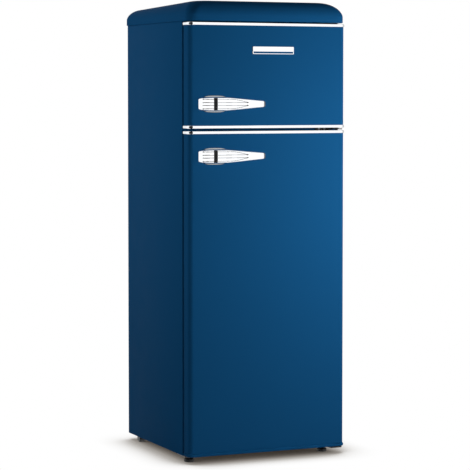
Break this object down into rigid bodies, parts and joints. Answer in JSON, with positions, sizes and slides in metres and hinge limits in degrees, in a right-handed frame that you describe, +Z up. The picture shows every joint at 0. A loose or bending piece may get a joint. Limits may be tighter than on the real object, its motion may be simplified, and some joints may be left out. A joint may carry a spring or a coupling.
{
  "type": "top freezer refrigerator",
  "caption": "Free-standing retro refrigerator with a freezer compartment on top, two right-hinged rounded doors, chrome lever pulls and a pillow-shaped top cover.",
  "frame": {"origin": "on the floor, below the middle of the whole object's bounding box", "axes": "+Z up, doors face -Y, hinges on the +X side"},
  "size_m": [0.556, 0.603, 1.4762],
  "materials": {
    "blue_enamel": "deep blue semi-gloss powder coat",
    "chrome_trim": "bright chrome plating",
    "white_plastic": "satin moulded polystyrene",
    "clear_plastic": "clear moulded polystyrene",
    "shelf_glass": "toughened clear glass",
    "white_wire": "white epoxy coated wire",
    "foam_core": "rigid polyurethane foam",
    "seal_rubber": "soft grey PVC",
    "black_plastic": "matt black nylon",
    "black_steel": "black stove enamel",
    "zinc_steel": "zinc plated sheet",
    "copper_tube": "drawn copper"
  },
  "bodies": {
    "cabinet": {"outer_wrapper": "blue_enamel", "rear_panel": "zinc_steel", "base_pan": "blue_enamel", "front_crossbar": "blue_enamel", "compressor_bay_panel": "zinc_steel", "insulation_foam": "foam_core", "freezer_liner": "white_plastic", "fridge_liner": "white_plastic", "top_cap": "blue_enamel", "freezer_shelf": "white_wire", "glass_shelf_1": "shelf_glass", "glass_shelf_2": "shelf_glass", "glass_shelf_3": "shelf_glass", "crisper_cover": "shelf_glass", "control_housing": "white_plastic", "lamp_lens": "clear_plastic", "compressor_plate": "zinc_steel", "condenser_bracket_left": "black_steel", "condenser_bracket_right": "black_steel", "compressor": "black_steel", "relay_box": "black_plastic", "filter_dryer": "copper_tube", "drip_tray": "black_plastic", "mains_gland": "black_plastic", "condenser_coil": "black_steel", "freezer_evaporator": "zinc_steel", "top_hinge": "zinc_steel", "middle_hinge": "black_steel", "bottom_hinge": "black_steel", "foot_bracket": "black_steel", "hinge_screw_1": "zinc_steel", "hinge_screw_2": "zinc_steel"},
    "freezer_door": {"freezer_door_skin": "blue_enamel", "freezer_door_foam": "foam_core", "freezer_door_liner": "white_plastic", "freezer_door_top_trim": "chrome_trim", "freezer_door_bottom_trim": "chrome_trim", "freezer_door_gasket": "seal_rubber", "freezer_handle_base": "chrome_trim", "freezer_handle": "chrome_trim", "freezer_door_balcony": "clear_plastic", "nameplate": "chrome_trim"},
    "fridge_door": {"fridge_door_skin": "blue_enamel", "fridge_door_foam": "foam_core", "fridge_door_liner": "white_plastic", "fridge_door_top_trim": "chrome_trim", "fridge_door_bottom_trim": "blue_enamel", "fridge_door_gasket": "seal_rubber", "fridge_handle_base": "chrome_trim", "fridge_handle": "chrome_trim", "bottle_balcony": "clear_plastic", "door_balcony_middle": "clear_plastic", "door_balcony_upper": "clear_plastic"},
    "crisper": {"crisper_drawer": "clear_plastic"},
    "knob": {"thermostat_knob": "white_plastic"},
    "switch_plunger": {"lamp_switch": "white_plastic"},
    "left_foot": {"levelling_foot_left": "black_plastic"},
    "right_foot": {"levelling_foot_right": "black_plastic"},
    "left_roller": {"roller_left": "black_plastic"},
    "right_roller": {"roller_right": "black_plastic"}
  },
  "joints": [
    {"name": "freezer_door_hinge", "type": "hinge", "parent": "cabinet", "child": "freezer_door", "pos_m": [0.257, -0.2415, 1.2], "axis": [0, 0, 1], "range_deg": [0, 120]},
    {"name": "fridge_door_hinge", "type": "hinge", "parent": "cabinet", "child": "fridge_door", "pos_m": [0.257, -0.2415, 0.5], "axis": [0, 0, 1], "range_deg": [0, 120]},
    {"name": "crisper_slide", "type": "slide", "parent": "cabinet", "child": "crisper", "axis": [0, -1, 0], "range_m": [0, 0.131]},
    {"name": "lamp_switch_travel", "type": "slide", "parent": "cabinet", "child": "switch_plunger", "axis": [0, -1, 0], "range_m": [0, 0.006]},
    {"name": "thermostat_turn", "type": "hinge", "parent": "cabinet", "child": "knob", "pos_m": [0.05, -0.2, 1.02], "axis": [0, -1, 0], "range_deg": [0, 270]},
    {"name": "left_foot_screw", "type": "hinge", "parent": "cabinet", "child": "left_foot", "pos_m": [-0.25, -0.202, 0.01], "axis": [0, 0, 1], "continuous": true},
    {"name": "right_foot_screw", "type": "hinge", "parent": "cabinet", "child": "right_foot", "pos_m": [0.225, -0.202, 0.01], "axis": [0, 0, 1], "continuous": true},
    {"name": "left_roller_spin", "type": "hinge", "parent": "cabinet", "child": "left_roller", "pos_m": [-0.255, 0.204, 0.0105], "axis": [1, 0, 0], "continuous": true},
    {"name": "right_roller_spin", "type": "hinge", "parent": "cabinet", "child": "right_roller", "pos_m": [0.255, 0.204, 0.0105], "axis": [1, 0, 0], "continuous": true}
  ],
  "couplings": [
    {"joint": "crisper_slide", "follows": "fridge_door_hinge", "m_per_rad": 0.0621},
    {"joint": "lamp_switch_travel", "follows": "fridge_door_hinge", "m_per_rad": 0.00286}
  ]
}
